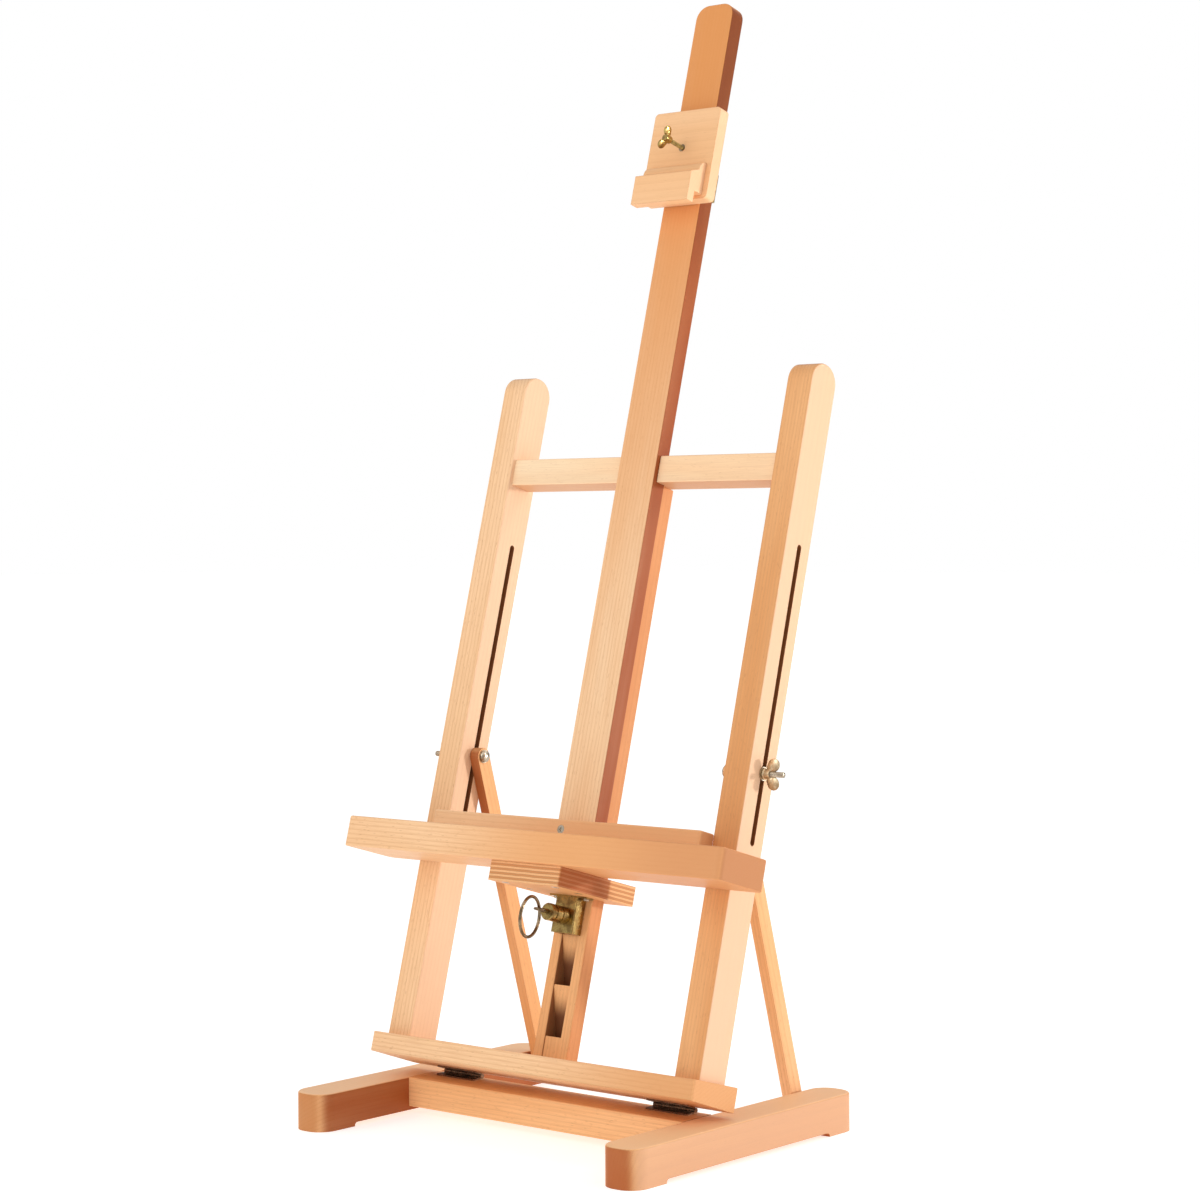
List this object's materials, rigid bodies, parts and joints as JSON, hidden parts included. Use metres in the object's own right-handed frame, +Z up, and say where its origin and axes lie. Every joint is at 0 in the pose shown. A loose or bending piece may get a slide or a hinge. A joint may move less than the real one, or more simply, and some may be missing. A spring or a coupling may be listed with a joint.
{
  "type": "tabletop easel",
  "caption": "Wooden tabletop easel: H-frame hinged on a two-footed base, sliding mast with tray, ratchet stop, canvas clamp and braces with wing nuts.",
  "frame": {"origin": "On the table, at the middle of the footprint of the two feet.", "axes": "+Z up, +X to the easel's own right as seen from its front, -Y towards the person painting."},
  "size_m": [0.423, 0.3785, 0.9998],
  "materials": {
    "beech": "oiled",
    "mast_beech": "oiled",
    "plywood": "oiled",
    "black_steel": "satin",
    "brass": "polished",
    "zinc_steel": "zinc plated"
  },
  "bodies": {
    "base": {"foot_right": "beech", "foot_left": "beech", "base_crossbeam": "beech", "base_dowels": "beech", "brace_bushes": "zinc_steel", "hinge_lower_leaf_right": "black_steel", "hinge_lower_leaf_left": "black_steel", "hinge_pin_right": "black_steel", "hinge_pin_left": "black_steel", "hinge_lower_screws": "black_steel"},
    "frame": {"hinge_upper_leaf_right": "black_steel", "hinge_upper_leaf_left": "black_steel", "hinge_upper_screws": "black_steel", "bottom_rail": "beech", "upright_right": "beech", "upright_left": "beech", "top_crossbar": "beech", "post_rail_right": "beech", "post_rail_left": "beech", "ratchet_rack": "beech", "frame_dowels": "beech", "post_screws": "zinc_steel"},
    "tray": {"mast": "mast_beech", "tray_bar": "beech", "tray_ledge": "beech", "ledge_screw": "zinc_steel", "carriage_plate": "plywood", "tray_screws": "zinc_steel", "pawl_box": "brass", "pawl_sleeve": "brass", "pawl_box_screws": "zinc_steel", "pawl_spring": "zinc_steel"},
    "pawl": {"pawl": "zinc_steel", "pull_rod": "zinc_steel"},
    "pull_ring": {"pull_ring": "zinc_steel"},
    "clamp": {"clamp_body": "beech", "clamp_strap": "brass", "clamp_strap_screws": "zinc_steel", "clamp_insert": "brass"},
    "clamp_screw": {"clamp_thumbscrew": "brass"},
    "bolt_right": {"brace_bolt_right": "zinc_steel", "bolt_washers_right": "brass"},
    "brace_right": {"brace_right": "beech", "brace_pivot_screw_right": "zinc_steel"},
    "wing_nut_right": {"wing_nut_right": "brass"},
    "bolt_left": {"brace_bolt_left": "zinc_steel", "bolt_washers_left": "brass"},
    "brace_left": {"brace_left": "beech", "brace_pivot_screw_left": "zinc_steel"},
    "wing_nut_left": {"wing_nut_left": "brass"}
  },
  "joints": [
    {"name": "frame_tilt", "type": "hinge", "parent": "base", "child": "frame", "pos_m": [0, -0.0085, 0.0353], "axis": [-1, 0, 0], "range_deg": [-15.5, 74.5]},
    {"name": "tray_slide", "type": "slide", "parent": "frame", "child": "tray", "axis": [0, 0.2672, 0.9636], "range_m": [-0.0894, 0.3129]},
    {"name": "clamp_slide", "type": "slide", "parent": "tray", "child": "clamp", "axis": [0, 0.2672, 0.9636], "range_m": [-0.148, 0.088]},
    {"name": "clamp_screw_turn", "type": "hinge", "parent": "clamp", "child": "clamp_screw", "pos_m": [0, 0.15839, 0.86384], "axis": [0, -0.9636, 0.2672], "continuous": true},
    {"name": "pawl_pull", "type": "slide", "parent": "tray", "child": "pawl", "axis": [0, -0.9636, 0.2672], "range_m": [-0.005, 0.005], "stiffness_N_per_m": 600, "deforming": ["pawl_spring"]},
    {"name": "ring_swing", "type": "hinge", "parent": "pawl", "child": "pull_ring", "pos_m": [0, -0.0426, 0.19523], "axis": [-1, 0, 0], "range_deg": [-10, 20]},
    {"name": "bolt_slide_right", "type": "slide", "parent": "frame", "child": "bolt_right", "axis": [0, 0.2672, 0.9636], "range_m": [-0.03361, 0.1608]},
    {"name": "brace_fold_right", "type": "hinge", "parent": "bolt_right", "child": "brace_right", "pos_m": [0, 0.04113, 0.31418], "axis": [-1, 0, 0], "range_deg": [-4.88, 23.29]},
    {"name": "wing_nut_turn_right", "type": "hinge", "parent": "bolt_right", "child": "wing_nut_right", "pos_m": [0, 0.04113, 0.31418], "axis": [1, 0, 0], "continuous": true},
    {"name": "bolt_slide_left", "type": "slide", "parent": "frame", "child": "bolt_left", "axis": [0, 0.2672, 0.9636], "range_m": [-0.03361, 0.1608]},
    {"name": "brace_fold_left", "type": "hinge", "parent": "bolt_left", "child": "brace_left", "pos_m": [0, 0.04113, 0.31418], "axis": [-1, 0, 0], "range_deg": [-4.88, 23.29]},
    {"name": "wing_nut_turn_left", "type": "hinge", "parent": "bolt_left", "child": "wing_nut_left", "pos_m": [0, 0.04113, 0.31418], "axis": [1, 0, 0], "continuous": true}
  ],
  "couplings": [
    {"joint": "bolt_slide_right", "follows": "frame_tilt", "m_per_rad": 0.12351},
    {"joint": "brace_fold_right", "follows": "frame_tilt", "ratio": 0.31195},
    {"joint": "bolt_slide_left", "follows": "frame_tilt", "m_per_rad": 0.12351},
    {"joint": "brace_fold_left", "follows": "frame_tilt", "ratio": 0.31195}
  ]
}
